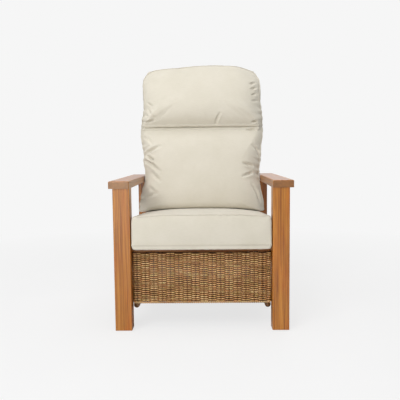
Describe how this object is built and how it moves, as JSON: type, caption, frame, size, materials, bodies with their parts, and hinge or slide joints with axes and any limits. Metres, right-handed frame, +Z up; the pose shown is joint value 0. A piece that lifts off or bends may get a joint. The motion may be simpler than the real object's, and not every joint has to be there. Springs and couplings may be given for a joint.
{
  "type": "reclining armchair",
  "caption": "Push-back reclining armchair: square oak legs, broad flat arms, woven base whose front panel swings out as the footrest, boxed seat cushion and tall two-part back cushion",
  "frame": {"origin": "on the floor, under the middle of the chair's footprint in the upright pose", "axes": "+Z up, +Y towards the back, +X to the chair's right side as seen from the front; the chair faces -Y"},
  "size_m": [0.71, 0.7738, 1.132],
  "materials": {
    "honey_oak": "satin honey-oak lacquer with straight vertical grain",
    "rattan_weave": "plain-woven rattan core, matt lacquer, uneven brown",
    "rattan_dark": "wrapped rattan pole and twisted border, matt lacquer",
    "cream_fabric": "cream woven upholstery cloth over soft fill, piped edges",
    "dark_steel": "black powder coat, semi-matt",
    "zinc_steel": "zinc-plated steel",
    "black_plastic": "moulded black nylon"
  },
  "bodies": {
    "base": {"front_leg_left": "honey_oak", "front_leg_right": "honey_oak", "rear_leg_left": "honey_oak", "rear_leg_right": "honey_oak", "armrest_left": "honey_oak", "armrest_right": "honey_oak", "side_rail_upper_left": "honey_oak", "side_rail_upper_right": "honey_oak", "side_rail_lower_left": "honey_oak", "side_rail_lower_right": "honey_oak", "mount_rail_left": "honey_oak", "mount_rail_right": "honey_oak", "side_weave_left": "rattan_weave", "side_weave_right": "rattan_weave", "side_plate_left": "dark_steel", "side_plate_right": "dark_steel", "rear_rail_upper": "honey_oak", "rear_rail_lower": "honey_oak", "seat_front_board": "honey_oak", "seat_rear_board": "honey_oak", "seat_slats": "honey_oak", "seat_cushion": "cream_fabric", "side_poles_top": "rattan_dark", "side_poles_bottom": "rattan_dark", "rear_weave": "rattan_weave", "leg_glides": "black_plastic", "side_plate_screws": "zinc_steel", "base_pivot_pins": "zinc_steel", "back_pivot_bolts": "zinc_steel", "tension_washers": "zinc_steel", "tension_nuts": "zinc_steel"},
    "back": {"back_stile_left": "honey_oak", "back_stile_right": "honey_oak", "back_top_rail": "honey_oak", "back_bottom_rail": "honey_oak", "back_slats": "honey_oak", "back_bracket_left": "dark_steel", "back_bracket_right": "dark_steel", "back_bracket_screws": "zinc_steel", "rod_rear_pins": "zinc_steel", "back_cushion_lower": "cream_fabric", "back_cushion_upper": "cream_fabric"},
    "swing_arms": {"swing_arm_left": "dark_steel", "swing_arm_right": "dark_steel", "torsion_rod": "zinc_steel", "swing_arm_pins": "zinc_steel"},
    "carrier_links": {"carrier_link_left": "dark_steel", "carrier_link_right": "dark_steel", "carrier_pins": "zinc_steel"},
    "control_links": {"control_links": "dark_steel"},
    "stay_links": {"stay_links": "dark_steel"},
    "drive_rods": {"drive_rods": "dark_steel"},
    "footrest": {"footrest_board": "honey_oak", "footrest_weave": "rattan_weave", "footrest_border": "rattan_dark", "footrest_bracket_left": "dark_steel", "footrest_bracket_right": "dark_steel", "footrest_screws": "zinc_steel", "stay_pins": "zinc_steel"}
  },
  "joints": [
    {"name": "back_recline", "type": "hinge", "parent": "base", "child": "back", "pos_m": [0, 0.12906, 0.286], "axis": [-1, 0, 0], "range_deg": [0, 34]},
    {"name": "arm_swing", "type": "hinge", "parent": "base", "child": "swing_arms", "pos_m": [0, -0.27094, 0.28], "axis": [-1, 0, 0], "range_deg": [0, 52.8]},
    {"name": "carrier_fold", "type": "hinge", "parent": "swing_arms", "child": "carrier_links", "pos_m": [0, -0.24544, 0.137], "axis": [-1, 0, 0], "range_deg": [-83.2, 0]},
    {"name": "footrest_tilt", "type": "hinge", "parent": "carrier_links", "child": "footrest", "pos_m": [0, -0.30894, 0.282], "axis": [-1, 0, 0], "range_deg": [0, 114.5]},
    {"name": "control_swing", "type": "hinge", "parent": "base", "child": "control_links", "pos_m": [0, -0.28694, 0.217], "axis": [-1, 0, 0], "range_deg": [0, 63.3]},
    {"name": "stay_fold", "type": "hinge", "parent": "swing_arms", "child": "stay_links", "pos_m": [0, -0.19594, 0.112], "axis": [-1, 0, 0], "range_deg": [-75.9, 0]},
    {"name": "rod_rock", "type": "hinge", "parent": "back", "child": "drive_rods", "pos_m": [0, 0.11706, 0.236], "axis": [-1, 0, 0], "range_deg": [-34.8, 0]}
  ],
  "couplings": [
    {"joint": "arm_swing", "follows": "back_recline", "ratio": 1.5494},
    {"joint": "carrier_fold", "follows": "back_recline", "ratio": -2.4421},
    {"joint": "footrest_tilt", "follows": "back_recline", "ratio": 3.3633},
    {"joint": "control_swing", "follows": "back_recline", "ratio": 1.8565},
    {"joint": "stay_fold", "follows": "back_recline", "ratio": -2.2276},
    {"joint": "rod_rock", "follows": "back_recline", "ratio": -1.0198}
  ]
}
